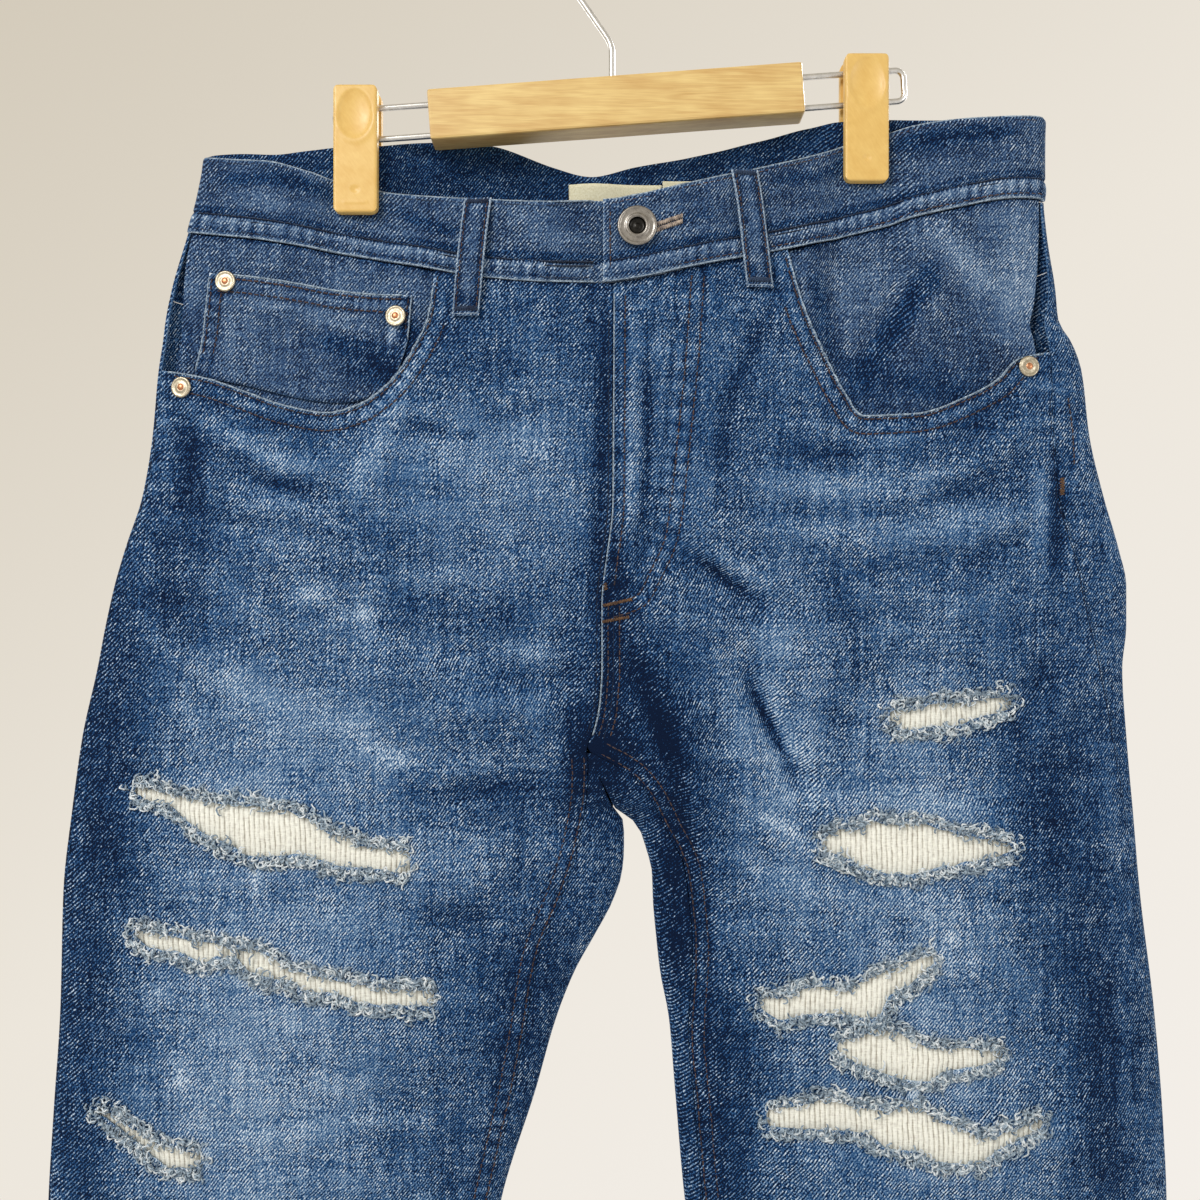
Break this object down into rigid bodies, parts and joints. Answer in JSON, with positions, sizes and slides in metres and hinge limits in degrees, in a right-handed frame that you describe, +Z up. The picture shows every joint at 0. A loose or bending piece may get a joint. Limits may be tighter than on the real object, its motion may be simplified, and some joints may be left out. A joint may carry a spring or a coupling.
{
  "type": "ripped jeans on a wooden trouser hanger",
  "caption": "Worn blue ripped jeans hanging flat by the waistband from the clips of a wooden trouser hanger with a wire hook.",
  "frame": {"origin": "inner top of the hanger hook's bowl, where a rail carries it", "axes": "+Z up, along the hanging length; +X to the right of the front view; the front of the jeans faces -Y, and Y is their thickness"},
  "size_m": [0.5628, 0.0493, 1.1683],
  "materials": {
    "denim": "worn indigo twill, faded on thighs and seams",
    "denim_dark": "less worn indigo twill",
    "ribbed_backing": "ivory ribbed cloth",
    "cream_tape": "plain woven cotton label",
    "pewter": "aged pewter tone",
    "nickel": "warm nickel, satin",
    "maple": "clear lacquered pale hardwood",
    "moulded_plastic": "pale ochre moulded plastic, satin",
    "chrome": "bright wire"
  },
  "bodies": {
    "root": {"back_left": "denim", "back_pocket_left": "denim", "back_pocket_right": "denim", "back_right": "denim", "belt_loop_back_centre": "denim", "belt_loop_back_left": "denim", "belt_loop_back_right": "denim", "belt_loop_front_left": "denim", "belt_loop_front_right": "denim", "button": "pewter", "clip_left_back": "moulded_plastic", "clip_left_front": "moulded_plastic", "clip_right_back": "moulded_plastic", "clip_right_front": "moulded_plastic", "coin_pocket": "denim", "facing_left": "denim_dark", "facing_right": "denim_dark", "front_left": "denim", "front_right": "denim", "hanger_bar": "maple", "hanger_hook": "chrome", "hanger_wire_left": "chrome", "hanger_wire_right": "chrome", "hem_left": "denim", "hem_right": "denim", "label": "cream_tape", "rip_patch_left_1": "ribbed_backing", "rip_patch_left_2": "ribbed_backing", "rip_patch_left_3": "ribbed_backing", "rip_patch_right_1": "ribbed_backing", "rip_patch_right_2": "ribbed_backing", "rip_patch_right_3": "ribbed_backing", "rivet_coin_inner": "nickel", "rivet_coin_outer": "nickel", "rivet_pocket_left": "nickel", "rivet_pocket_right": "nickel", "size_tab": "cream_tape", "waistband": "denim", "yoke_left": "denim", "yoke_right": "denim"}
  },
  "joints": []
}
